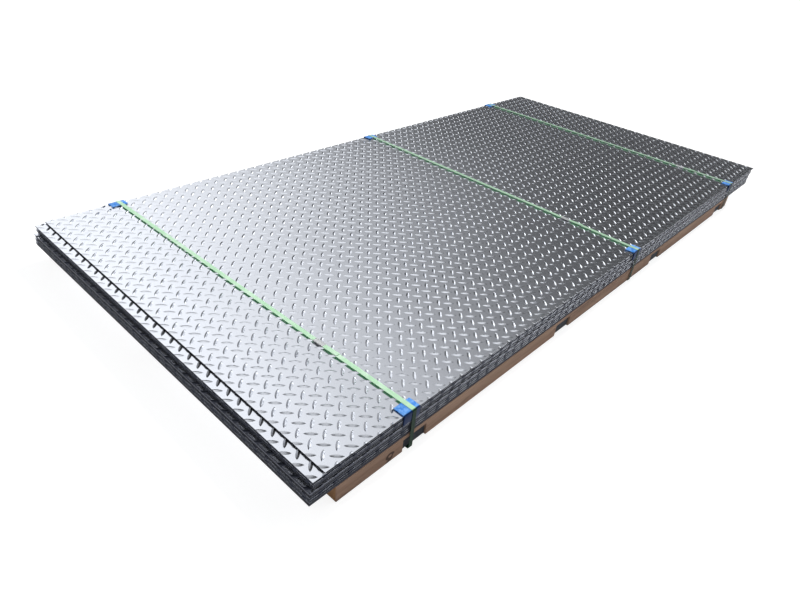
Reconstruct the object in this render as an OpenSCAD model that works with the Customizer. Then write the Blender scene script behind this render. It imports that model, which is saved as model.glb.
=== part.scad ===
// Strapped pack of stainless steel tread plate on a timber skid.
// +X runs along the sheets, the front end is at -X, the near long side at -Y, and the floor is z = 0.

/* [Sheets] */
// Length of a sheet
sheet_l = 2438; // [1800:1:3000]
// Width of a sheet
sheet_w = 1219; // [900:1:1500]
// Thickness of the plate under the lugs
plate_t = 3.2; // [2:0.1:6]
// How far the second group of sheets slid out at the front end
slide_2 = 27; // [0:1:45]
// How far the third group slid out, measured from the top group
slide_3 = 35; // [0:1:45]
// How far the bottom group slid out, measured from the top group
slide_4 = 37; // [0:1:45]
// How far single sheets lie off the line of their group
sheet_wander = 1.2; // [0:0.1:2]

/* [Tread lugs] */
// Distance between lugs that lie the same way
lug_pitch = 36.4; // [32:0.1:50]
// Length of a lug
lug_l = 29; // [20:0.5:34]
// Width of a lug at its middle
lug_w = 8.5; // [5:0.5:12]
// Height of a lug above the plate
lug_h = 1.5; // [1:0.1:2.5]

/* [Skid] */
// Height of the stringers
timber_h = 44; // [40:1:100]
// Width of a stringer
stringer_w = 90; // [60:1:120]
// Length of a stringer
stringer_l = 2165; // [2000:1:2400]
// From the front end of the top sheet to the near stringer
stringer_inset = 28; // [0:1:40]
// How far each next stringer starts ahead of the one before it
stringer_lead = 15; // [0:1:20]
// Width of a cross bearer
bearer_w = 73; // [50:1:120]
// Height of a cross bearer
bearer_h = 33; // [20:1:36]
// From the front end of the top sheet to the middle of the first bearer
bearer_first = 251; // [150:1:400]
// Distance between bearers
bearer_pitch = 612; // [400:1:620]
// How far the ends of a bearer lie inside the stringer faces
bearer_recess = 4; // [0:0.5:20]

/* [Straps] */
// Width of a strap
strap_w = 12; // [8:0.5:20]
// Thickness of a strap
strap_t = 0.8; // [0.5:0.1:1.2]
// From the front end of the top sheet to the first strap
strap_first = 224; // [150:1:400]
// From the front end of the top sheet to the second strap
strap_second = 1288; // [1000:1:1400]
// From the front end of the top sheet to the third strap
strap_third = 2146; // [1900:1:2150]
// Length of the loose tail in front of a seal
tail_l = 45; // [10:1:100]
// Length of a seal
seal_l = 32; // [20:1:50]
// Wall of a seal
seal_t = 0.8; // [0.5:0.1:1]

/* [Corner guards] */
// Length of a guard along the sheet edge
guard_l = 48; // [30:1:90]
// Leg of a guard on the top sheet
guard_top = 32; // [20:1:60]
// Leg of a guard down the side of the pack
guard_side = 27; // [15:1:40]
// Thickness of a guard
guard_t = 2; // [2:0.1:4]
// Outer bend of a guard
guard_r = 3; // [2:0.1:4]
// How far the middle of a guard lies in front of its strap
guard_ahead = 6; // [0:1:15]

/* [Hidden] */
$fn = 48;

steel_colour = [0.74, 0.75, 0.78];
timber_colour = [0.55, 0.42, 0.31];
bearer_colour = [0.24, 0.26, 0.31];
strap_colour = [0.56, 0.84, 0.56];
seal_colour = [0.80, 0.82, 0.82];
guard_colour = [0.33, 0.58, 0.90];

// Sheets are counted from the top, in four groups that each slid as one
group_last = [1, 6, 10, 14];
group_slide = [0, slide_2, slide_3, slide_4];
sheet_count = group_last[3];
sheet_rise = plate_t + lug_h;
stack_top = timber_h + sheet_count * sheet_rise;
// Where each sheet lies along the pack, from the top one, and the shift that centres the pack on its origin
wander_turn = [137, 83];
sheet_lies = [for (i = [1 : sheet_count]) wander(i, wander_turn.x) - slide(i)];
pack_shift = -(max(sheet_lies) + min(sheet_lies)) / 2;
front_x = pack_shift - sheet_l / 2;

// A lug is the lens between two arcs
lug_r = (lug_l * lug_l + lug_w * lug_w) / (4 * lug_w);
// A lug row counts as the edge row while its middle is less than this outside the sheet
edge_reach = lug_w / 2;
last_column = floor((sheet_l / 2 + edge_reach) / lug_pitch - 0.5);
last_row = floor((sheet_w / 2 + edge_reach) / lug_pitch - 0.5);

// The floor clearance of a strap, and the gap that it keeps from what it goes round
strap_lift = 0.2;
strap_clear = 0.3;
strap_bed = strap_lift + strap_t;
strap_bend = guard_r + strap_clear;
strap_x = [strap_first, strap_second, strap_third];
// Each strap crosses the sheets a little askew
strap_yaw = [1, -0.7, 0];
seal_from_near = [286, 262, 213];

bearer_bottom = strap_bed + strap_lift;
bearer_fit = 0.5;
bearer_len = sheet_w - 2 * bearer_recess;
// Cuts reach past the faces that they open
over = 1;

guard_out = sheet_w / 2 + sheet_wander + guard_t;
guard_up = stack_top + guard_t;

function slide(i) = i <= group_last[0] ? group_slide[0]
    : i <= group_last[1] ? group_slide[1]
    : i <= group_last[2] ? group_slide[2]
    : group_slide[3];

// Single sheets below the top one lie a little this way and that
function wander(i, turn) = i == 1 ? 0 : sheet_wander * sin(turn * i);

function two_digits(i) = str(i < 10 ? "0" : "", i);

// Where a strap's middle line lies at distance y from the middle of the pack
function strap_x_at(i, y) = front_x + strap_x[i] - y * tan(strap_yaw[i]);

module lug() {
    rotate(45)
        intersection() {
            translate([0, lug_r - lug_w / 2])
                circle(r = lug_r);
            translate([0, lug_w / 2 - lug_r])
                circle(r = lug_r);
        }
}

// The outermost lugs all round, trimmed where the sheet was sheared
module edge_lugs() {
    intersection() {
        square([sheet_l, sheet_w], center = true);
        for (side = [-1, 1]) {
            for (column = [-last_column - 1 : last_column])
                translate([(column + 0.5) * lug_pitch, side * (last_row + 0.5) * lug_pitch])
                    lug();
            for (row = [-last_row : last_row - 1])
                translate([side * (last_column + 0.5) * lug_pitch, (row + 0.5) * lug_pitch])
                    lug();
        }
    }
}

module sheet(i) {
    color(steel_colour)
        translate([pack_shift + sheet_lies[i - 1], wander(i, wander_turn.y), stack_top - i * sheet_rise]) {
            translate([-sheet_l / 2, -sheet_w / 2, 0])
                cube([sheet_l, sheet_w, plate_t]);
            translate([0, 0, plate_t])
                linear_extrude(lug_h)
                    edge_lugs();
        }
}

// The inside of a strap, seen along the pack: over the guards, straight down their legs and under the timber
module strap_round(grow) {
    bend_y = guard_out - guard_r;
    top_z = guard_up - guard_r;
    low_z = strap_bed + strap_bend;
    r = strap_bend + grow;
    translate([-bend_y - r, low_z])
        square([2 * (bend_y + r), top_z - low_z]);
    translate([-bend_y, low_z - r])
        square([2 * bend_y, top_z - low_z + 2 * r]);
    for (side = [-1, 1])
        for (z = [low_z, top_z])
            translate([side * bend_y, z])
                circle(r = r);
}

// Sets a shape drawn across the pack at a strap's place, with a thickness along the pack
module along_strap(i, width) {
    translate([front_x + strap_x[i], 0, 0])
        rotate(strap_yaw[i])
            rotate([90, 0, 90])
                translate([0, 0, -width / 2])
                    linear_extrude(width)
                        children();
}

module strap(i) {
    run_z = guard_up + strap_clear + strap_t;
    seal_y = seal_from_near[i] - sheet_w / 2;
    color(strap_colour)
        along_strap(i, strap_w) {
            difference() {
                strap_round(strap_t);
                strap_round(0);
            }
            translate([seal_y - seal_l / 2 - tail_l, run_z])
                square([tail_l + seal_l, strap_t]);
        }
}

// A flat sleeve pressed round the two layers of strap
module seal(i) {
    hole_w = strap_w + 2 * strap_lift;
    hole_h = 2 * (strap_t + strap_lift);
    floor_z = guard_up + strap_clear - strap_lift;
    color(seal_colour)
        translate([front_x + strap_x[i], 0, floor_z])
            rotate(strap_yaw[i])
                translate([0, seal_from_near[i] - sheet_w / 2, 0])
                    difference() {
                        translate([-hole_w / 2 - seal_t, -seal_l / 2, -seal_t])
                            cube([hole_w + 2 * seal_t, seal_l, hole_h + 2 * seal_t]);
                        translate([-hole_w / 2, -seal_l / 2 - over, 0])
                            cube([hole_w, seal_l + 2 * over, hole_h]);
                    }
}

// An angle with a rounded outer bend, drawn with its outer faces at x = 0 and y = 0
module guard_profile() {
    difference() {
        union() {
            translate([-guard_top, -guard_side])
                square([guard_top - guard_r, guard_side]);
            translate([-guard_top, -guard_side])
                square([guard_top, guard_side - guard_r]);
            translate([-guard_r, -guard_r])
                circle(r = guard_r);
        }
        translate([-guard_top - guard_t, -guard_side - guard_t])
            square([guard_top, guard_side]);
    }
}

module guard(i, side) {
    color(guard_colour)
        translate([strap_x_at(i, side * sheet_w / 2) - guard_ahead - guard_l / 2, 0, guard_up])
            rotate([90, 0, 90])
                linear_extrude(guard_l)
                    mirror([side < 0 ? 1 : 0, 0])
                        translate([guard_out, 0])
                            guard_profile();
}

// Stringers are counted 0, 1, 2 from the near side to the far side
module stringer(k) {
    start_x = front_x + stringer_inset - k * stringer_lead;
    middle_y = (k - 1) * (sheet_w - stringer_w) / 2;
    color(timber_colour)
        difference() {
            translate([start_x, middle_y - stringer_w / 2, 0])
                cube([stringer_l, stringer_w, timber_h]);
            for (b = [0 : 3])
                translate([
                    front_x + bearer_first + b * bearer_pitch - bearer_w / 2 - bearer_fit,
                    middle_y - stringer_w / 2 - over,
                    -over
                ])
                    cube([bearer_w + 2 * bearer_fit, stringer_w + 2 * over, bearer_bottom + bearer_h + over]);
            for (i = [0 : 2])
                along_strap(i, strap_w + 2 * strap_clear)
                    translate([-sheet_w / 2 - over, -over])
                        square([sheet_w + 2 * over, strap_bed + over]);
        }
}

module cross_bearer(b) {
    color(bearer_colour)
        translate([
            front_x + bearer_first + b * bearer_pitch - bearer_w / 2,
            -bearer_len / 2,
            bearer_bottom
        ])
            cube([bearer_w, bearer_len, bearer_h]);
}

for (i = [1 : sheet_count])
    sheet(i);
stringer(0);  // stringer_near
stringer(1);  // stringer_middle
stringer(2);  // stringer_far
for (b = [0 : 3])
    cross_bearer(b);
for (i = [0 : 2]) {
    strap(i);
    seal(i);
    guard(i, -1);
    guard(i, 1);
}
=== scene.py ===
import math
import bmesh
import bpy
from mathutils import Matrix, Vector


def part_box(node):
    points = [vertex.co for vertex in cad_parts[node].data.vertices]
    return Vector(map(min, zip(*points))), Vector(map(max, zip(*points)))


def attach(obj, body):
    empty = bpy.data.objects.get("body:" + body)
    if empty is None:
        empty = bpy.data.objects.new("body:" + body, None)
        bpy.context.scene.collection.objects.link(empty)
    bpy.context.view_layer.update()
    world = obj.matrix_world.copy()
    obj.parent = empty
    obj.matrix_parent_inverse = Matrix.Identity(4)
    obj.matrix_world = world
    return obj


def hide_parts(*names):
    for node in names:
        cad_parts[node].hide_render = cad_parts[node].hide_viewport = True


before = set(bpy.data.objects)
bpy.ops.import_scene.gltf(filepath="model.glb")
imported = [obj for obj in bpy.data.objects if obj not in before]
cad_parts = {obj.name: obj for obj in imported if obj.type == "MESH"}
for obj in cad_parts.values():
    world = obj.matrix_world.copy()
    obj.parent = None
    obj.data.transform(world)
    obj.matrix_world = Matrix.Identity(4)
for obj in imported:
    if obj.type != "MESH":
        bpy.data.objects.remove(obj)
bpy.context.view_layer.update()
mm = 0.001
scene = bpy.context.scene
print("frame loaded,", len(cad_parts), "nodes")


# a socket that takes part in sums, in shaders and in geometry trees alike
class Wire:
    def __init__(self, graph, socket):
        self.graph = graph
        self.socket = socket

    def maths(self, operation, *others):
        return self.graph.add("ShaderNodeMath", {"operation": operation}, dict(enumerate((self,) + others)))

    def swapped(self, operation, first):
        return self.graph.add("ShaderNodeMath", {"operation": operation}, {0: first, 1: self})

    def __add__(self, other):
        return self.maths("ADD", other)

    def __radd__(self, other):
        return self.swapped("ADD", other)

    def __sub__(self, other):
        return self.maths("SUBTRACT", other)

    def __rsub__(self, other):
        return self.swapped("SUBTRACT", other)

    def __mul__(self, other):
        return self.maths("MULTIPLY", other)

    def __rmul__(self, other):
        return self.swapped("MULTIPLY", other)

    def __truediv__(self, other):
        return self.maths("DIVIDE", other)

    def __rtruediv__(self, other):
        return self.swapped("DIVIDE", other)

    def __pow__(self, other):
        return self.maths("POWER", other)

    def __abs__(self):
        return self.maths("ABSOLUTE")

    def __lt__(self, other):
        return self.maths("LESS_THAN", other)


def opaque(colour):
    return colour if isinstance(colour, Wire) else (*colour, 1.0)


# a node tree; add makes any node, with its settings first and then its sockets
class Graph:
    def __init__(self, tree):
        self.tree = tree

    def add(self, kind, settings=None, sockets=None, out=0):
        made = self.tree.nodes.new(kind)
        for name, value in (settings or {}).items():
            setattr(made, name, value)
        for key, value in (sockets or {}).items():
            socket = made.inputs[key]
            for item in value if isinstance(value, list) else [value]:
                if isinstance(item, Wire):
                    self.tree.links.new(item.socket, socket)
                else:
                    socket.default_value = item
        return made if out is None else Wire(self, made.outputs[out])

    def blend(self, factor, first, second):
        sockets = {0: factor, 6: opaque(first), 7: opaque(second)}
        return self.add("ShaderNodeMix", {"data_type": "RGBA"}, sockets, 2)

    def step(self, value, low, high, toLow=0.0, toHigh=1.0):
        sockets = {0: value, 1: low, 2: high, 3: toLow, 4: toHigh}
        return self.add("ShaderNodeMapRange", {"interpolation_type": "SMOOTHSTEP"}, sockets)

    def place(self, scale=(1.0, 1.0, 1.0), turn=(0.0, 0.0, 0.0), shift=(0.0, 0.0, 0.0)):
        where = self.add("ShaderNodeTexCoord", out="Object")
        sockets = {"Vector": where, "Scale": scale, "Rotation": turn, "Location": shift}
        return self.add("ShaderNodeMapping", None, sockets)

    def axes(self, vector=None):
        vector = vector or self.add("ShaderNodeTexCoord", out="Object")
        split = self.add("ShaderNodeSeparateXYZ", None, {0: vector}, None)
        return [Wire(self, socket) for socket in split.outputs]

    def noise(self, vector, scale, detail=3.0, rough=0.55, twist=0.0):
        sockets = {"Vector": vector, "Scale": scale, "Detail": detail, "Roughness": rough}
        sockets["Distortion"] = twist
        return self.add("ShaderNodeTexNoise", None, sockets)

    def bump(self, height, strength, depth):
        return self.add("ShaderNodeBump", None, {"Height": height, "Strength": strength, "Distance": depth})


def startMaterial(name):
    material = bpy.data.materials.new(name)
    material.use_nodes = True
    material.node_tree.nodes.clear()
    return material, Graph(material.node_tree)


def closeMaterial(graph, **sockets):
    named = {key.replace("_", " "): value for key, value in sockets.items()}
    shader = graph.add("ShaderNodeBsdfPrincipled", None, named)
    graph.add("ShaderNodeOutputMaterial", None, {"Surface": shader}, None)


# bright rolled steel, with a fine rolling grain, cloudy sheen and a few dry stains
steelLook = {
    "colour": (0.64, 0.655, 0.70), "stain": (0.58, 0.59, 0.62), "metal": 0.93, "rough": 0.145,
    "cloudScale": 5.0, "grainScale": (14.0, 900.0, 900.0), "grainDepth": 0.2 * mm,
    "spotScale": 7.0, "spotShift": (0.37, 0.0, 0.0),
    # how many times steeper than its mesh each flank of a lug is shaded
    "rightFlank": {"atFront": 4.05, "atBack": 1.0, "from": -1.05, "over": 1.9, "perY": 0.7},
    "leftFlank": {"least": 2.35, "from": -0.8, "perX": 2.45},
    "nearFlank": 3.5,
    "narrow": 0.25,  # share that a flank keeps of its tilt along the lug
}


# the shading normal, tilted further on the lugs; toRight and toFar each run across one of the lug directions
def steepFlanks(g):
    right, left, narrow = steelLook["rightFlank"], steelLook["leftFlank"], steelLook["narrow"]
    tiltX, tiltY, tiltZ = g.axes(g.add("ShaderNodeNewGeometry", out="Normal"))
    x, y, _ = g.axes()
    worn = (1.0 - (x - right["from"]) / right["over"]).maths("MAXIMUM", 0.0)
    rightSteep = right["atBack"] + worn * worn * (right["atFront"] - right["atBack"])
    rightSteep = rightSteep * (1.0 + y * right["perY"])
    leftSteep = (x - left["from"]).maths("MAXIMUM", 0.0) * left["perX"] + left["least"]
    toRight = tiltX - tiltY
    toFar = tiltX + tiltY
    crosswise = g.step(abs(toRight) - abs(toFar), -0.03, 0.03)
    onRight = g.step(toRight, -0.10, 0.10)
    onFar = g.step(toFar, 0.10, 0.30)
    onNear = g.step(toFar, -0.10, -0.30)
    steep = (rightSteep * onRight + (1.0 - onRight) * leftSteep) * (1.0 - onFar - onNear)
    steep = steep + onFar + onNear * steelLook["nearFlank"]
    toRight = toRight * steep * (narrow + crosswise * (1.0 - narrow))
    toFar = toFar * steep * (1.0 - crosswise * (1.0 - narrow))
    sockets = {"X": (toRight + toFar) * 0.5, "Y": (toFar - toRight) * 0.5, "Z": tiltZ}
    tilt = g.add("ShaderNodeCombineXYZ", None, sockets)
    return g.add("ShaderNodeVectorMath", {"operation": "NORMALIZE"}, {0: tilt})


def makeSteel():
    q = steelLook
    material, g = startMaterial("rolledStainless")
    cloud = g.noise(g.place(), q["cloudScale"], 4.0)
    grain = g.noise(g.place(q["grainScale"]), 1.0, 2.0)
    spots = g.step(g.noise(g.place(shift=q["spotShift"]), q["spotScale"], 5.0, 0.6), 0.63, 0.74)
    colour = g.blend(spots * 0.5, q["colour"], q["stain"])
    rough = q["rough"] + (cloud - 0.5) * 0.05 + (grain - 0.5) * 0.04 + spots * 0.08
    sockets = {"Height": grain, "Strength": 0.05, "Distance": q["grainDepth"], "Normal": steepFlanks(g)}
    normal = g.add("ShaderNodeBump", None, sockets)
    closeMaterial(g, Base_Color=colour, Metallic=q["metal"], Roughness=rough, Normal=normal)
    return material


# sheared edges, dark partly as painted shade: a burnished band over a torn, duller one, dark lines of painted
# shade where the groups of sheets part, and one light line of painted highlight
edgeLook = {
    "torn": (0.027, 0.031, 0.048), "burnished": (0.080, 0.088, 0.122), "rise": 4.7 * mm, "skidTop": 44.0 * mm,
    "dark": (0.012, 0.014, 0.020), "gapShadeLines": (107.0 * mm, 84.0 * mm, 71.3 * mm, 52.3 * mm),
    "light": (0.24, 0.25, 0.31), "highlightLine": 78.0 * mm, "lineHalf": 5.2 * mm, "lineWander": 2.0 * mm,
}


def makeShearedEdge():
    q = edgeLook
    material, g = startMaterial("shearedEdge")
    _, _, z = g.axes()
    along = g.noise(g.place((160.0, 160.0, 700.0)), 1.0, 3.0)
    broad = g.noise(g.place((6.0, 6.0, 40.0)), 1.0, 3.0)
    level = ((z - q["skidTop"]) / q["rise"]).maths("FRACT") + (along - 0.5) * 0.25
    band = g.step(level, 0.36, 0.52)
    colour = g.blend(band * (0.25 + broad * 0.8), q["torn"], q["burnished"])
    half = q["lineHalf"]
    wander = (broad - 0.5) * q["lineWander"]
    # painted shade: dark lines in the gaps where the groups of sheets part
    for height in q["gapShadeLines"]:
        line = g.step(abs(z - height + wander), half, half * 0.3)
        colour = g.blend(line * 0.9, colour, q["dark"])
    # painted highlight: one light line along the edges
    line = g.step(abs(z - q["highlightLine"] + wander), half * 0.6, half * 0.2)
    colour = g.blend(line * 0.6, colour, q["light"])
    closeMaterial(g, Base_Color=colour, Metallic=0.2, Roughness=0.66 - band * 0.2, Specular_IOR_Level=0.15,
                  Normal=g.bump(along, 0.25, 0.3 * mm))
    return material


# embossed green strapping, pale in patches; painted shade in very dark green down the pack's sides and under
# it, and in darker green on its undersides, which also have a faint painted glow
strapLook = {
    "colour": (0.48, 0.74, 0.50), "pale": (0.64, 0.84, 0.65),
    "shaded": (0.32, 0.48, 0.35), "shadedOver": (-0.9, 0.6),  # in X, duller towards the back
    "under": (0.26, 0.58, 0.32), "underGlow": (0.02, 0.09, 0.035), "unlit": (0.0, 0.0, 0.0),
    "deepShade": (0.002, 0.026, 0.010), "side": 611.0 * mm, "skirt": 20.0 * mm, "embossScale": 700.0,
}


def makeStrap():
    q = strapLook
    material, g = startMaterial("greenStrapping")
    wear = g.noise(g.place((30.0, 30.0, 30.0)), 1.0, 4.0)
    turned = g.place(turn=(0.0, 0.0, math.radians(45.0)))
    diamonds = g.add("ShaderNodeTexChecker", None, {"Vector": turned, "Scale": q["embossScale"]}, 1)
    x, y, z = g.axes()
    _, _, facing = g.axes(g.add("ShaderNodeNewGeometry", out="Normal"))
    below = facing < -0.5
    # painted shade: very dark green down the pack's sides and under its bottom
    deepShadeMask = g.step(abs(y), q["side"] - 2.5 * mm, q["side"] + 1.0 * mm).maths("MAXIMUM", z < q["skirt"])
    colour = g.blend(g.step(wear, 0.42, 0.75), q["colour"], q["pale"])
    colour = g.blend(g.step(x, *q["shadedOver"]), colour, q["shaded"])
    # painted shade: a darker green on faces that look down
    colour = g.blend(below, colour, q["under"])
    colour = g.blend(deepShadeMask, colour, q["deepShade"])
    # painted light: a faint glow on the undersides, which no lamp gives
    underGlow = g.blend(below, q["unlit"], q["underGlow"])
    closeMaterial(g, Base_Color=colour, Roughness=0.38 + wear * 0.15, Specular_IOR_Level=0.08,
                  Emission_Color=underGlow, Emission_Strength=1.0, Normal=g.bump(diamonds, 0.25, 0.1 * mm))
    return material


sealLook = {"colour": (0.74, 0.75, 0.75), "metal": 0.85, "spangleScale": 420.0}


def makeSeal():
    q = sealLook
    material, g = startMaterial("zincedSeal")
    spangle = g.add("ShaderNodeTexVoronoi", None, {"Vector": g.place(), "Scale": q["spangleScale"]})
    scuff = g.noise(g.place((300.0, 60.0, 300.0)), 1.0, 3.0)
    rough = 0.36 + spangle * 0.12 + scuff * 0.12
    closeMaterial(g, Base_Color=opaque(q["colour"]), Metallic=q["metal"], Roughness=rough,
                  Normal=g.bump(scuff, 0.15, 0.2 * mm))
    return material


# blue plastic: mid blue on the sheet, with painted shade in navy down the dark side
guardLook = {
    "colour": (0.055, 0.24, 0.70), "scuffed": (0.20, 0.43, 0.86), "deepShade": (0.002, 0.020, 0.090),
    "side": 611.0 * mm, "wander": 2.0 * mm,
}


def makeGuard():
    q = guardLook
    material, g = startMaterial("bluePlastic")
    mottle = g.noise(g.place((120.0, 120.0, 120.0)), 1.0, 4.0, 0.65)
    fine = g.noise(g.place((900.0, 900.0, 900.0)), 1.0, 2.0)
    _, y, _ = g.axes()
    colour = g.blend(g.step(mottle, 0.40, 0.66), q["colour"], q["scuffed"])
    # painted shade: navy down the side, its edge wandering with the mottle
    deepShadeMask = g.step(abs(y) + (mottle - 0.5) * q["wander"], q["side"] - 3.0 * mm, q["side"])
    colour = g.blend(deepShadeMask, colour, q["deepShade"])
    closeMaterial(g, Base_Color=colour, Roughness=0.34 + mottle * 0.2, Specular_IOR_Level=0.10,
                  Normal=g.bump(fine, 0.12, 0.2 * mm))
    return material


# sawn softwood, grain along X; the knot lies on the near face close to the front end
timberLook = {
    "pale": (0.48, 0.315, 0.225), "brown": (0.27, 0.165, 0.115), "dark": (0.060, 0.036, 0.026),
    "knot": (-1024.0 * mm, 11.0 * mm), "knotSize": (11.0 * mm, 8.0 * mm), "nearFace": -600.0 * mm,
    "footShade": (0.012, 0.010, 0.009), "footShadeHeight": (5.5 * mm, 1.0 * mm), "footShadeWander": 4.0 * mm,
    "footShadeFrom": (-420.0 * mm, -220.0 * mm),
}


def makeTimber():
    q = timberLook
    material, g = startMaterial("sawnTimber")
    x, y, z = g.axes()
    broad = g.noise(g.place((1.6, 9.0, 14.0)), 1.0, 4.0, 0.6)
    fibre = g.noise(g.place((22.0, 420.0, 420.0)), 1.0, 4.0, 0.6)
    growth = g.noise(g.place((2.2, 70.0, 95.0)), 1.0, 3.0, 0.5, 0.6)
    saw = g.noise(g.place((330.0, 6.0, 12.0), (0.0, math.radians(14.0), 0.0)), 1.0, 2.0)
    tone = g.step(broad * 0.55 + growth * 0.35 + fibre * 0.25, 0.38, 0.78)
    colour = g.blend(tone, q["brown"], q["pale"])
    colour = g.blend(g.step(growth, 0.60, 0.72) * 0.55, colour, q["dark"])
    # the knot is a small hook of dark bark: a curl above, a tail below
    along = (x - q["knot"][0]) / q["knotSize"][0]
    up = (z - q["knot"][1]) / q["knotSize"][1]
    reach = (along * along + (up - 0.7) * (up - 0.7)).maths("SQRT")
    curl = g.step(abs(reach - 0.8 + (broad - 0.5) * 0.2), 0.5, 0.22) * g.step(along * 0.8 - up, 0.3, -0.1)
    tail = g.step(abs(up + 0.55 - along * 0.85), 0.75, 0.35) * g.step(abs(along + 0.25), 1.1, 0.8)
    hook = ((curl + tail) * (y < q["nearFace"])).maths("MINIMUM", 0.92)
    colour = g.blend(hook, colour, q["dark"])
    # painted shade: a dark line along the bottom edge, over the back part of the stringer
    low = g.step(z + (broad - 0.5) * q["footShadeWander"], *q["footShadeHeight"])
    colour = g.blend(low * g.step(x, *q["footShadeFrom"]) * 0.85, colour, q["footShade"])
    closeMaterial(g, Base_Color=colour, Roughness=0.74 + fibre * 0.16, Specular_IOR_Level=0.25,
                  Normal=g.bump(fibre * 0.6 + saw * 0.4, 0.45, 0.6 * mm))
    return material


# end grain: rings round a pith that lies below the section
endLook = {
    "pale": (0.40, 0.22, 0.105), "ring": (0.20, 0.098, 0.045),
    "pithEvery": 300.0 * mm, "pithDepth": 30.0 * mm,
}


def makeEndGrain():
    q = endLook
    material, g = startMaterial("endGrain")
    _, y, z = g.axes()
    wander = g.noise(g.place((1.0, 30.0, 30.0)), 1.0, 3.0)
    pores = g.noise(g.place((1.0, 900.0, 900.0)), 1.0, 2.0)
    sideways = y.maths("PINGPONG", q["pithEvery"])
    above = z + q["pithDepth"]
    reach = (sideways * sideways + above * above).maths("SQRT")
    rings = ((reach + wander * 0.006) * 260.0).maths("FRACT")
    colour = g.blend(g.step(rings, 0.55, 0.95) * 0.8 + pores * 0.2, q["pale"], q["ring"])
    closeMaterial(g, Base_Color=colour, Roughness=0.85, Specular_IOR_Level=0.2,
                  Normal=g.bump(pores, 0.4, 0.5 * mm))
    return material


# cross bearers: very dark grey, with lighter fibres and patches
bearerLook = {"dark": (0.020, 0.024, 0.031), "grey": (0.070, 0.078, 0.092)}


def makeBearer():
    material, g = startMaterial("darkGreyBearer")
    fibre = g.noise(g.place((300.0, 9.0, 300.0)), 1.0, 4.0)
    broad = g.noise(g.place((18.0, 5.0, 18.0)), 1.0, 3.0)
    tone = g.step(fibre * 0.6 + broad * 0.5, 0.42, 0.78)
    colour = g.blend(tone, bearerLook["dark"], bearerLook["grey"])
    closeMaterial(g, Base_Color=colour, Roughness=0.8, Specular_IOR_Level=0.25,
                  Normal=g.bump(fibre, 0.4, 0.6 * mm))
    return material


steel = makeSteel()
shearedEdge = makeShearedEdge()
greenStrap = makeStrap()
sealMetal = makeSeal()
bluePlastic = makeGuard()
sawnTimber = makeTimber()
endGrain = makeEndGrain()
darkGreyBearer = makeBearer()
print("materials made")


def newPiece(name, bm, materials, slot, *replaced):
    mesh = bpy.data.meshes.new(name)
    bm.to_mesh(mesh)
    bm.free()
    for material in materials:
        mesh.materials.append(material)
    piece = bpy.data.objects.new(name, mesh)
    scene.collection.objects.link(piece)
    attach(piece, "root")
    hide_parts(*replaced)
    return piece


def startTree(name, inputs):
    tree = bpy.data.node_groups.new(name, "GeometryNodeTree")
    for label, kind in inputs:
        tree.interface.new_socket(label, in_out="INPUT", socket_type="NodeSocket" + kind)
    tree.interface.new_socket("Geometry", in_out="OUTPUT", socket_type="NodeSocketGeometry")
    graph = Graph(tree)
    source = graph.add("NodeGroupInput", out=None)
    return tree, graph, {socket.name: Wire(graph, socket) for socket in source.outputs if socket.name}


# runs a tree on a mesh and gives the plain mesh that comes out
def runTree(tree, values, start=None):
    holder = bpy.data.objects.new("holder", start or bpy.data.meshes.new("holder"))
    scene.collection.objects.link(holder)
    modifier = holder.modifiers.new("build", "NODES")
    modifier.node_group = tree
    for item in tree.interface.items_tree:
        if item.in_out == "INPUT" and item.name in values:
            modifier[item.identifier] = values[item.name]
    evaluated = holder.evaluated_get(bpy.context.evaluated_depsgraph_get())
    result = bpy.data.meshes.new_from_object(evaluated)
    holder.modifiers.remove(modifier)
    bpy.data.objects.remove(holder)
    return result


# tread lugs: lens-shaped and ridged, in two directions, on two lattices half a pitch apart
lugSettings = {
    "pitchX": 36.44 * mm, "pitchY": 37.0 * mm, "shiftX": 6.0 * mm, "shiftY": 15.4 * mm,
    "columns": 69, "rows": 35,
    "length": 30.0 * mm, "width": 10.0 * mm, "height": 1.5 * mm, "sink": 0.25 * mm,
    "stations": 8, "crowding": 0.7, "fullness": 0.65, "bluntness": 6.0,  # crowding draws stations to the ends
    "weld": 0.02 * mm, "crease": 0.01 * mm,
}


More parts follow.
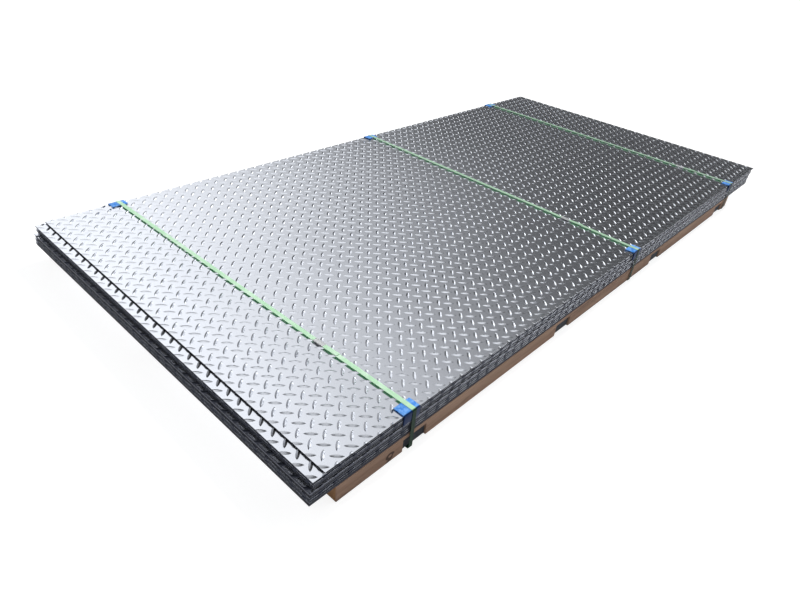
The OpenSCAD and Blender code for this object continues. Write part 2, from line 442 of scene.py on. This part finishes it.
def makeLugTree():
    q = lugSettings
    inputs = [("Columns", "Int"), ("Rows", "Int"), ("Pitch X", "Float"), ("Pitch Y", "Float"),
              ("Shift", "Vector"), ("Lug Length", "Float"), ("Lug Width", "Float"), ("Lug Height", "Float"),
              ("Sink", "Float"), ("Inner Length", "Float"), ("Inner Width", "Float"),
              ("Material", "Material")]
    tree, g, given = startTree("treadLugs", inputs)
    sockets = {"Size X": 2.0, "Size Y": 2.0, "Vertices X": q["stations"]}
    top = g.add("GeometryNodeMeshGrid", None, {**sockets, "Vertices Y": 3})
    under = g.add("GeometryNodeMeshGrid", None, {**sockets, "Vertices Y": 2})
    under = g.add("GeometryNodeFlipFaces", None, {0: under})
    both = g.add("GeometryNodeJoinGeometry", None, {0: [top, under]})
    s, t, _ = g.axes(g.add("GeometryNodeInputPosition"))
    s = s * (1.0 + q["crowding"] - s * s * q["crowding"])
    x = s * given["Lug Length"] / 2.0
    half = (1.0 - s * s).maths("MAXIMUM", 0.0) ** q["fullness"] * given["Lug Width"] / 2.0
    rise = (1.0 - abs(t)) * (1.0 - abs(s) ** q["bluntness"])
    z = rise * (given["Lug Height"] + given["Sink"]) - given["Sink"]
    shape = g.add("ShaderNodeCombineXYZ", None, {0: x, 1: t * half, 2: z})
    lug = g.add("GeometryNodeSetPosition", None, {"Geometry": both, "Position": shape})
    lug = g.add("GeometryNodeMergeByDistance", None, {"Geometry": lug, "Distance": q["weld"]})
    # the ridge and the foot are creases, so each flank has a normal of its own
    _, offRidge, height = g.axes(g.add("GeometryNodeInputPosition"))
    creased = (abs(offRidge) < q["crease"]).maths("MAXIMUM", height < q["crease"] - given["Sink"])
    sockets = {"Geometry": lug, "Selection": creased, "Shade Smooth": False}
    lug = g.add("GeometryNodeSetShadeSmooth", {"domain": "EDGE"}, sockets)
    parts = []
    for fewer, turn in ((0.0, 45.0), (1.0, -45.0)):
        columns = given["Columns"] - fewer
        rows = given["Rows"] - fewer
        sockets = {"Size X": (columns - 1.0) * given["Pitch X"], "Size Y": (rows - 1.0) * given["Pitch Y"],
                   "Vertices X": columns, "Vertices Y": rows}
        lattice = g.add("GeometryNodeMeshGrid", None, sockets)
        lattice = g.add("GeometryNodeSetPosition", None, {"Geometry": lattice, "Offset": given["Shift"]})
        px, py, _ = g.axes(g.add("GeometryNodeInputPosition"))
        inner = (abs(px) < given["Inner Length"] / 2.0) * (abs(py) < given["Inner Width"] / 2.0)
        sockets = {"Geometry": lattice, "Selection": inner}
        lattice = g.add("GeometryNodeDeleteGeometry", {"domain": "POINT"}, sockets)
        sockets = {"Points": lattice, "Instance": lug, "Rotation": (0.0, 0.0, math.radians(turn))}
        parts.append(g.add("GeometryNodeInstanceOnPoints", None, sockets))
    joined = g.add("GeometryNodeJoinGeometry", None, {0: parts})
    real = g.add("GeometryNodeRealizeInstances", None, {0: joined})
    smooth = g.add("GeometryNodeSetShadeSmooth", None, {"Geometry": real})
    done = g.add("GeometryNodeSetMaterial", None, {"Geometry": smooth, "Material": given["Material"]})
    g.add("NodeGroupOutput", None, {0: done}, None)
    return tree


lugTree = makeLugTree()


# a rectangular bar with its edges broken, as one closed shell
def addBar(bm, low, high, bevel):
    made = bmesh.ops.create_cube(bm, size=1.0)["verts"]
    for vert in made:
        vert.co = Vector([low[i] + (vert.co[i] + 0.5) * (high[i] - low[i]) for i in range(3)])
    edges = list({edge for vert in made for edge in vert.link_edges})
    cut = bmesh.ops.bevel(bm, geom=edges, offset=bevel, segments=2, affect="EDGES", profile=0.5)
    return {face for vert in cut["verts"] for face in vert.link_faces}


# sheets: the top one has all its lugs, the others those near the rim; below the bright ones the lugs only
# show in the gaps, and take the dark edge material as painted shade
sheetSettings = {"count": 14, "bright": 2, "edgeRing": 46.0 * mm, "cutInset": 0.05 * mm, "bevel": 0.35 * mm}


# shears off what hangs over the plate's edges, and closes the cuts
def shearLugs(bm, length, width):
    inset = sheetSettings["cutInset"]
    for axis, reach in ((0, length / 2.0 - inset), (1, width / 2.0 - inset)):
        for side in (-1.0, 1.0):
            normal = Vector((0.0, 0.0, 0.0))
            normal[axis] = side
            near = [face for face in bm.faces if max(vert.co[axis] * side for vert in face.verts) > reach]
            edges = {edge for face in near for edge in face.edges}
            verts = {vert for face in near for vert in face.verts}
            bmesh.ops.bisect_plane(bm, geom=near + list(edges) + list(verts), plane_co=normal * reach,
                                   plane_no=normal, clear_outer=True)
            rims = [edge for edge in bm.edges if edge.is_boundary]
            for face in bmesh.ops.holes_fill(bm, edges=rims, sides=0)["faces"]:
                face.smooth = False
                face.material_index = 1


def makeSheet(number):
    node = f"sheet_{number:02d}"
    low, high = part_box(node)
    q = sheetSettings
    plateTop = high.z - lugSettings["height"]
    length, width = high.x - low.x, high.y - low.y
    bare = 0.0 if number == 1 else 1.0  # whether the middle has no lugs
    values = {
        "Columns": lugSettings["columns"], "Rows": lugSettings["rows"],
        "Pitch X": lugSettings["pitchX"], "Pitch Y": lugSettings["pitchY"],
        "Shift": (lugSettings["shiftX"], lugSettings["shiftY"], 0.0), "Lug Length": lugSettings["length"],
        "Lug Width": lugSettings["width"], "Lug Height": lugSettings["height"], "Sink": lugSettings["sink"],
        "Inner Length": bare * (length - 2.0 * q["edgeRing"]),
        "Inner Width": bare * (width - 2.0 * q["edgeRing"]), "Material": steel,
    }
    lugs = runTree(lugTree, values)
    bm = bmesh.new()
    bm.from_mesh(lugs)
    bpy.data.meshes.remove(lugs)
    # painted shade: lugs below the bright sheets take the dark edge material
    for face in bm.faces:
        face.material_index = 0 if number <= q["bright"] else 1
    shearLugs(bm, length, width)
    bm.normal_update()
    for face in bm.faces:
        if face.normal.z < -0.9:
            face.smooth = False
    middle = Vector(((low.x + high.x) / 2.0, (low.y + high.y) / 2.0, plateTop))
    bmesh.ops.translate(bm, verts=bm.verts, vec=middle)
    for face in addBar(bm, low, (high.x, high.y, plateTop), q["bevel"]):
        face.material_index = 1 if abs(face.normal.z) < 0.9 else 0
        face.smooth = False
    return newPiece(f"treadSheet{number:02d}", bm, [steel, shearedEdge], "stainless", node)


for number in range(1, sheetSettings["count"] + 1):
    makeSheet(number)
print("sheets made")

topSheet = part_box("sheet_01")
lugTop = topSheet[1].z
plateTop = lugTop - lugSettings["height"]
frontX = topSheet[0].x
halfWidth = (topSheet[1].y - topSheet[0].y) / 2.0

# straps: a flat band drawn taut round the pack from guard to guard, with a tail that lies past its seal
strapSettings = {
    "width": 12.0 * mm, "thick": 0.8 * mm, "round": 0.3 * mm,
    "along": (224.0 * mm, 1288.0 * mm, 2146.0 * mm), "yaw": (1.0, -0.7, 0.0),
    "sealFromNear": (286.0 * mm, 262.0 * mm, 213.0 * mm), "sealLength": 32.0 * mm,
    "guardTop": 2.0 * mm, "gap": 0.1 * mm, "side": 613.0 * mm, "lowest": 0.6 * mm, "bend": 3.7 * mm,
    "sealDip": -0.6 * mm, "dipReach": 40.0 * mm, "topSteps": 150, "bendSteps": 5,
    "tail": 45.0 * mm, "tailLap": 3.0 * mm, "tailGap": 0.06 * mm, "tailLift": 0.9 * mm, "tailSteps": 14,
}


def makeStrapTree():
    inputs = [("Geometry", "Geometry"), ("Width", "Float"), ("Thickness", "Float"), ("Rounding", "Float"),
              ("Material", "Material")]
    tree, g, given = startTree("strapBand", inputs)
    path = g.add("GeometryNodeMeshToCurve", None, {0: given["Geometry"]})
    path = g.add("GeometryNodeSetCurveNormal", {"mode": "FREE"}, {"Curve": path, "Normal": (1.0, 0.0, 0.0)})
    sockets = {"Width": given["Width"], "Height": given["Thickness"]}
    section = g.add("GeometryNodeCurvePrimitiveQuadrilateral", None, sockets)
    sockets = {"Curve": section, "Count": 2, "Radius": given["Rounding"]}
    section = g.add("GeometryNodeFilletCurve", {"mode": "POLY"}, sockets)
    sockets = {"Curve": path, "Profile Curve": section, "Fill Caps": True}
    band = g.add("GeometryNodeCurveToMesh", None, sockets)
    real = g.add("GeometryNodeRealizeInstances", None, {0: band})
    done = g.add("GeometryNodeSetMaterial", None, {"Geometry": real, "Material": given["Material"]})
    g.add("NodeGroupOutput", None, {0: done}, None)
    return tree


strapTree = makeStrapTree()


def pathMesh(points, closed):
    mesh = bpy.data.meshes.new("path")
    count = len(points)
    edges = [(i, (i + 1) % count) for i in range(count if closed else count - 1)]
    mesh.from_pydata(points, edges, [])
    return mesh


def smoothStep(value):
    value = min(1.0, max(0.0, value))
    return value * value * (3.0 - 2.0 * value)


def sealMiddle(index):
    return strapSettings["sealFromNear"][index] - halfWidth


# a place in the pack, from one across a strap, along it and up
def onStrap(index, across, along, up):
    yaw = math.radians(strapSettings["yaw"][index])
    middle = frontX + strapSettings["along"][index]
    x = middle + across * math.cos(yaw) - along * math.sin(yaw)
    return x, across * math.sin(yaw) + along * math.cos(yaw), up


# height of the middle of the band's thickness on the guards
def bandTop():
    return lugTop + strapSettings["guardTop"] + strapSettings["gap"] + strapSettings["thick"] / 2.0


# the same at distance y from the pack's middle, with a small dip at the seal
def strapHeight(index, y):
    s = strapSettings
    return bandTop() + s["sealDip"] * smoothStep(1.6 - abs(y - sealMiddle(index)) / s["dipReach"])


def strapPoints(index):
    s = strapSettings
    bend = s["bend"]
    flat = s["side"] + s["thick"] / 2.0 - bend
    low, high = s["lowest"] + bend, bandTop() - bend
    points = []
    for i in range(s["topSteps"] + 1):
        y = -flat + 2.0 * flat * i / s["topSteps"]
        points.append((y, strapHeight(index, y)))
    corners = [(flat, high, 90.0), (flat, low, 0.0), (-flat, low, -90.0), (-flat, high, 180.0)]
    for cornerY, cornerZ, first in corners:
        for k in range(1, s["bendSteps"] + 1):
            angle = math.radians(first - 90.0 * k / s["bendSteps"])
            points.append((cornerY + bend * math.cos(angle), cornerZ + bend * math.sin(angle)))
    points.pop()  # the band closes on its first point
    return [onStrap(index, 0.0, y, z) for y, z in points]


def tailPoints(index):
    s = strapSettings
    sealY = sealMiddle(index)
    half = s["sealLength"] / 2.0
    start, stop = sealY + half + s["tailLap"], sealY - half - s["tail"]
    points = []
    for i in range(s["tailSteps"] + 1):
        y = start + (stop - start) * i / s["tailSteps"]
        lift = s["tailLift"] * smoothStep((sealY - y) / (half + s["tail"]))
        points.append(onStrap(index, 0.0, y, strapHeight(index, y) + s["thick"] + s["tailGap"] + lift))
    return points


def makeStrapPiece(index):
    s = strapSettings
    values = {"Width": s["width"], "Thickness": s["thick"], "Rounding": s["round"], "Material": greenStrap}
    bm = bmesh.new()
    for points, closed in ((strapPoints(index), True), (tailPoints(index), False)):
        band = runTree(strapTree, values, pathMesh(points, closed))
        bm.from_mesh(band)
        bpy.data.meshes.remove(band)
    bmesh.ops.recalc_face_normals(bm, faces=bm.faces)
    for face in bm.faces:
        face.material_index = 0
        face.smooth = False
    return newPiece(f"strapBand{index + 1}", bm, [greenStrap], "strap", f"strap_{index + 1}")


for index in range(3):
    makeStrapPiece(index)
print("straps made")

# seals: a thin sleeve round both layers, notched where the crimper bit
sealSettings = {
    "width": 14.2 * mm, "height": 3.1 * mm, "wall": 0.7 * mm, "stations": 25, "sides": 16, "squareness": 6,
    "crimps": (-8.5 * mm, 8.5 * mm), "bite": 1.1 * mm, "crimpReach": 2.0 * mm, "spread": 0.12,
}


def sealRing(bm, index, along, grow):
    q = sealSettings
    bite = sum(q["bite"] * math.exp(-((along - c) / q["crimpReach"]) ** 2) for c in q["crimps"])
    halfX = q["width"] / 2.0 - bite - grow
    halfZ = q["height"] / 2.0 + bite * q["spread"] - grow
    base = strapHeight(index, sealMiddle(index)) + strapSettings["thick"] / 2.0
    ring = []
    for k in range(q["sides"]):
        angle = 2.0 * math.pi * (k + 0.5) / q["sides"]
        c, d = math.cos(angle), math.sin(angle)
        bulge = (abs(c) ** q["squareness"] + abs(d) ** q["squareness"]) ** (-1.0 / q["squareness"])
        place = onStrap(index, halfX * c * bulge, sealMiddle(index) + along, base + halfZ * d * bulge)
        ring.append(bm.verts.new(place))
    return ring


def joinRings(bm, first, second):
    count = len(first)
    for k in range(count):
        n = (k + 1) % count
        bm.faces.new((first[k], first[n], second[n], second[k]))


def makeSealPiece(index):
    length, count = strapSettings["sealLength"], sealSettings["stations"]
    bm = bmesh.new()
    outer, inner = [], []
    for i in range(count):
        along = -length / 2.0 + length * i / (count - 1)
        outer.append(sealRing(bm, index, along, 0.0))
        inner.append(sealRing(bm, index, along, sealSettings["wall"]))
    for layer in (outer, inner):
        for first, second in zip(layer, layer[1:]):
            joinRings(bm, first, second)
    for end in (0, -1):
        joinRings(bm, outer[end], inner[end])
    bmesh.ops.recalc_face_normals(bm, faces=bm.faces)
    for face in bm.faces:
        face.smooth = True
    return newPiece(f"sealSleeve{index + 1}", bm, [sealMetal], "seal", f"seal_{index + 1}")


for index in range(3):
    makeSealPiece(index)
print("seals made")


# walls between two like outlines, closed at both ends
def closePrism(bm, first, second):
    joinRings(bm, first, second)
    bm.faces.new(first)
    bm.faces.new(second)
    bmesh.ops.recalc_face_normals(bm, faces=bm.faces)


# corner guards: a moulded angle with a rounded bend and softened rims
guardSettings = {"thick": 2.0 * mm, "bend": 3.0 * mm, "bendSteps": 6, "rim": 0.55 * mm, "sharp": 40.0}


def makeGuardPiece(index, end):
    node = f"guard_{index + 1}_{end}"
    low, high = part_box(node)
    q = guardSettings
    thick, bend = q["thick"], q["bend"]
    outY, inwards = (low.y, 1.0) if end == "near" else (high.y, -1.0)
    reach = high.y - low.y
    # section in distance in from the outer face, and height
    under = high.z - thick
    outline = [(reach, high.z), (reach, under), (thick, under), (thick, low.z), (0.0, low.z)]
    for k in range(q["bendSteps"] + 1):
        angle = math.radians(180.0 - 90.0 * k / q["bendSteps"])
        outline.append((bend + bend * math.cos(angle), high.z - bend + bend * math.sin(angle)))
    bm = bmesh.new()
    ends = [[bm.verts.new((x, outY + inwards * d, z)) for d, z in outline] for x in (low.x, high.x)]
    closePrism(bm, *ends)
    sharp = [edge for edge in bm.edges if edge.calc_face_angle() > math.radians(q["sharp"])]
    bmesh.ops.bevel(bm, geom=sharp, offset=q["rim"], segments=3, affect="EDGES", profile=0.5)
    for face in bm.faces:
        face.smooth = True
    return newPiece(f"cornerGuard{index + 1}{end.capitalize()}", bm, [bluePlastic], "guard", node)


for index in range(3):
    for end in ("near", "far"):
        makeGuardPiece(index, end)
print("guards made")

# stringers, notched over the bearers and grooved over the straps
stringerSettings = {
    "bearerFit": 0.5 * mm, "bearerTop": 34.2 * mm, "grooveWidth": 15.0 * mm, "grooveDepth": 1.05 * mm,
    "grooveClear": 10.0 * mm, "edge": 1.3 * mm, "tiny": 0.001 * mm, "endReach": 0.1 * mm,
}
bearerSettings = {"count": 4, "edge": 1.6 * mm}


# the notches and grooves, each from, to and depth
def stringerCuts(middleY):
    q, s = stringerSettings, strapSettings
    notches = []
    for b in range(bearerSettings["count"]):
        low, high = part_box(f"cross_bearer_{b + 1}")
        notches.append((low.x - q["bearerFit"], high.x + q["bearerFit"], q["bearerTop"]))
    grooves = []
    for index, along in enumerate(s["along"]):
        x = frontX + along - middleY * math.sin(math.radians(s["yaw"][index]))
        clear = q["grooveClear"]
        if not any(a - clear < x < b + clear for a, b, _ in notches):
            grooves.append((x - q["grooveWidth"] / 2.0, x + q["grooveWidth"] / 2.0, q["grooveDepth"]))
    return sorted(notches + grooves)


def makeStringer(end):
    node = f"stringer_{end}"
    low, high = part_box(node)
    q = stringerSettings
    profile = [(low.x, 0.0)]
    for a, b, depth in stringerCuts((low.y + high.y) / 2.0):
        profile += [(a, 0.0), (a, depth), (b, depth), (b, 0.0)]
    profile += [(high.x, 0.0), (high.x, high.z), (low.x, high.z)]
    bm = bmesh.new()
    closePrism(bm, *[[bm.verts.new((x, y, z)) for x, z in profile] for y in (low.y, high.y)])

    def fromEnd(place):
        return min(abs(place.x - low.x), abs(place.x - high.x))

    corners = []
    for edge in bm.edges:
        a, b = (vert.co for vert in edge.verts)
        onEnd = abs(a.x - b.x) < q["tiny"] and fromEnd(a) < q["tiny"]
        onTop = min(a.z, b.z) > high.z - q["tiny"]
        if onEnd or onTop:
            corners.append(edge)
    bmesh.ops.bevel(bm, geom=corners, offset=q["edge"], segments=2, affect="EDGES", profile=0.5)
    bm.normal_update()
    for face in bm.faces:
        face.smooth = False
        sawn = abs(face.normal.x) > 0.9 and fromEnd(face.calc_center_median()) < q["endReach"]
        face.material_index = 1 if sawn else 0
    return newPiece(f"stringer{end.capitalize()}", bm, [sawnTimber, endGrain], "timber", node)


for end in ("near", "middle", "far"):
    makeStringer(end)


def makeBearerPiece(number):
    node = f"cross_bearer_{number}"
    low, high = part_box(node)
    bm = bmesh.new()
    addBar(bm, low, high, bearerSettings["edge"])
    return newPiece(f"crossBearer{number}", bm, [darkGreyBearer], "bearer_timber", node)


for number in range(1, bearerSettings["count"] + 1):
    makeBearerPiece(number)
print("skid made")

# camera as fitted to the top sheet's corners; its place is from the middle of that sheet
cameraSettings = {
    "eye": (-1696.2 * mm, -1144.5 * mm, 865.9 * mm), "forward": (0.63328, 0.53390, -0.56027),
    "right": (0.6846, -0.7242, 0.0837), "focalPixels": 602.5, "imagePixels": 800.0, "sensor": 36.0,
}


def makeCamera():
    q = cameraSettings
    forward = Vector(q["forward"]).normalized()
    right = Vector(q["right"])
    right = (right - forward * right.dot(forward)).normalized()
    up = right.cross(forward)
    data = bpy.data.cameras.new("camera")
    data.lens = q["focalPixels"] / q["imagePixels"] * q["sensor"]
    data.sensor_width = q["sensor"]
    data.sensor_fit = "HORIZONTAL"
    data.clip_start, data.clip_end = 0.05, 200.0
    camera = bpy.data.objects.new("camera", data)
    scene.collection.objects.link(camera)
    low, high = topSheet
    middle = Vector(((low.x + high.x) / 2.0, (low.y + high.y) / 2.0, plateTop))
    turn = Matrix((right, up, -forward)).transposed()
    camera.matrix_world = Matrix.Translation(middle + Vector(q["eye"])) @ turn.to_4x4()
    scene.camera = camera


makeCamera()

# floor: white to the eye and in reflections, and it keeps the pack's shadow
floorSettings = {
    "size": 60.0, "drop": 0.4 * mm, "pale": (0.55, 0.55, 0.56), "seen": (0.40, 0.40, 0.40),
    "white": (1.0, 1.0, 1.0), "glow": 0.80,
}


def makeFloor():
    q = floorSettings
    material, g = startMaterial("paleFloor")
    rays = g.add("ShaderNodeLightPath", out=None)
    seenBy = ("Is Camera Ray", "Is Glossy Ray", "Is Transmission Ray")
    seen = sum((Wire(g, rays.outputs[name]) for name in seenBy), 0.0)
    plain = g.add("ShaderNodeBsdfDiffuse", None, {"Color": opaque(q["pale"])})
    shadowed = g.add("ShaderNodeBsdfDiffuse", None, {"Color": opaque(q["seen"])})
    glow = g.add("ShaderNodeEmission", None, {"Color": opaque(q["white"]), "Strength": q["glow"]})
    bright = g.add("ShaderNodeAddShader", None, {0: shadowed, 1: glow})
    mixed = g.add("ShaderNodeMixShader", None, {0: seen.maths("MINIMUM", 1.0), 1: plain, 2: bright})
    g.add("ShaderNodeOutputMaterial", None, {"Surface": mixed}, None)
    half = q["size"] / 2.0
    corners = [(x, y, -q["drop"]) for x, y in ((-half, -half), (half, -half), (half, half), (-half, half))]
    mesh = bpy.data.meshes.new("floor")
    mesh.from_pydata(corners, [], [(0, 1, 2, 3)])
    mesh.materials.append(material)
    floor = bpy.data.objects.new("floor", mesh)
    scene.collection.objects.link(floor)


makeFloor()

# studio: soft light at the left and back, dim at the right, low bright strips there, and a key lamp
lightSettings = {
    "dim": 0.040, "tint": (0.96, 0.98, 1.0), "raised": (0.55, 0.70, 0.0, 0.10),
    "keyPower": 2.3, "keyAngle": 8.0, "keyTurn": 12.0, "keyHeight": 46.0,
}
# each box has a level, and fades along the direction's axes: where it is dark, where it is full,
# and, where they aren't 0 and 1, the shares at those two places
lightBoxes = {
    "soft": (1.5, [("x", 0.90, 0.26), ("x", 0.03, 0.20), ("z", 0.26, 0.40), ("z", 0.98, 0.70),
                   ("y", 0.0, 0.4)]),
    "overhead": (0.8, [("z", 0.72, 0.90), ("y", -0.20, 0.05)]),
    "strip": (1.6, [("y", 0.88, 0.80), ("y", 0.02, 0.10), ("x", 0.3, 0.5), ("low", 0.19, 0.11),
                    ("z", -0.06, -0.01), ("y", 0.22, 0.36, 2.0, 1.0), ("y", 0.54, 0.66, 1.0, 0.5)]),
    "side": (2.4, [("y", 0.12, 0.0), ("y", -0.75, -0.50), ("x", 0.10, 0.35), ("z", 0.72, 0.50),
                   ("z", -0.06, -0.01)]),
    "front": (0.11, [("y", 0.05, -0.15), ("z", 0.15, 0.40)]),
    "left": (1.25, [("x", -0.30, -0.44), ("y", 0.25, 0.0), ("z", 0.30, 0.60)]),
    "back": (0.5, [("y", 0.965, 0.985), ("x", 0.20, 0.10)]),
}


def makeStudio():
    world = bpy.data.worlds.new("studio")
    scene.world = world
    world.use_nodes = True
    world.node_tree.nodes.clear()
    g = Graph(world.node_tree)
    x, y, z = g.axes(g.add("ShaderNodeTexCoord", out="Generated"))
    # low is the height that the strip goes by, which stands higher towards the back
    axes = {"x": x, "y": y, "z": z, "low": z - g.step(y, *lightSettings["raised"])}
    total = lightSettings["dim"]
    for level, fades in lightBoxes.values():
        for axis, *fade in fades:
            level = level * g.step(axes[axis], *fade)
        total = total + level
    sockets = {"Color": opaque(lightSettings["tint"]), "Strength": total}
    sky = g.add("ShaderNodeBackground", None, sockets)
    g.add("ShaderNodeOutputWorld", None, {"Surface": sky}, None)


def makeKeyLamp():
    q = lightSettings
    data = bpy.data.lights.new("key", "SUN")
    data.energy = q["keyPower"]
    data.angle = math.radians(q["keyAngle"])
    lamp = bpy.data.objects.new("key", data)
    scene.collection.objects.link(lamp)
    lamp.visible_glossy = False  # the steel mirrors the soft light only
    turn, height = math.radians(q["keyTurn"]), math.radians(q["keyHeight"])
    towards = Vector((math.cos(height) * math.cos(turn), math.cos(height) * math.sin(turn), math.sin(height)))
    lamp.rotation_mode = "QUATERNION"
    lamp.rotation_quaternion = towards.to_track_quat("Z", "Y")


makeStudio()
makeKeyLamp()
scene.view_settings.view_transform = "Standard"
print("camera, floor and light made")
